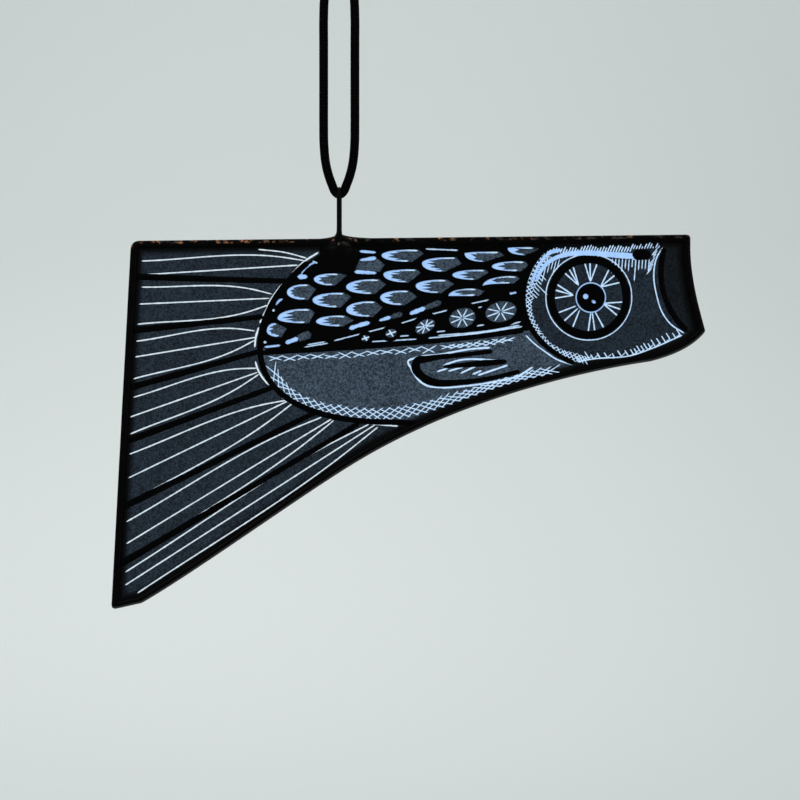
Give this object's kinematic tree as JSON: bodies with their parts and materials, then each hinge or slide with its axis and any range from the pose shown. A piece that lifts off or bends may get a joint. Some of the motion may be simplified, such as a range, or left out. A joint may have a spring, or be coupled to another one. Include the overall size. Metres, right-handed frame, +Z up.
{
  "type": "painted glass suncatcher in the outline of a carp streamer",
  "caption": "Flat painted-glass carp streamer panel with a soldered copper-foil edge, hung by a wire eye from a loop of black cord.",
  "frame": {"origin": "the crotch of the cord loop, just under the knot, where a hook or nail carries it", "axes": "+X to the carp's head, +Y to the back of the panel (the painted front faces -Y), +Z up"},
  "size_m": [0.1323, 0.0074, 0.1566],
  "materials": {
    "glass": "smooth pale blue-grey sheet glass",
    "copper": "thin copper foil, tarnished",
    "solder": "tin-lead solder under black patina, semi-gloss, worn to copper at the top edge",
    "wire": "tinned copper wire under black patina",
    "matt_paint": "fired matt glass paint, stippled, scratched through to the glass",
    "blue_enamel": "thin transparent blue glass enamel, fired",
    "trace_paint": "fired black trace paint, slightly raised and glossy",
    "cord": "black waxed round cord"
  },
  "bodies": {
    "knot": {"cord_knot": "cord"},
    "strands": {"cord_strands": "cord"},
    "bight": {"cord_bight": "cord"},
    "panel": {"glass_panel": "glass", "copper_foil": "copper", "solder_bead_front": "solder", "solder_bead_back": "solder", "solder_edge": "solder", "foil_patch_front": "copper", "foil_patch_back": "copper", "hanger_wire": "wire", "solder_blob_front": "solder", "solder_blob_back": "solder", "solder_fillet": "solder", "matt_tail": "matt_paint", "matt_body": "matt_paint", "matt_head": "matt_paint", "matt_mouth": "matt_paint", "enamel_back": "blue_enamel", "trace_tail_rays": "trace_paint", "trace_body_edge": "trace_paint", "trace_scales": "trace_paint", "trace_side_line": "trace_paint", "trace_side_spots": "trace_paint", "trace_fin": "trace_paint", "trace_gill": "trace_paint", "trace_eye": "trace_paint", "trace_mouth": "trace_paint"}
  },
  "joints": [
    {"name": "cord_swing", "type": "hinge", "parent": "knot", "child": "strands", "pos_m": [0, 0, 0.0029], "axis": [0, 1, 0], "range_deg": [-30, 30], "deforming": ["cord_strands"]},
    {"name": "cord_twist", "type": "hinge", "parent": "strands", "child": "bight", "pos_m": [0, 0, -0.0475], "axis": [0, 0, 1], "range_deg": [-150, 150], "stiffness_Nm_per_rad": 0.00019},
    {"name": "panel_swing", "type": "hinge", "parent": "bight", "child": "panel", "pos_m": [0, 0, -0.052], "axis": [1, 0, 0], "range_deg": [-75, 75]}
  ]
}
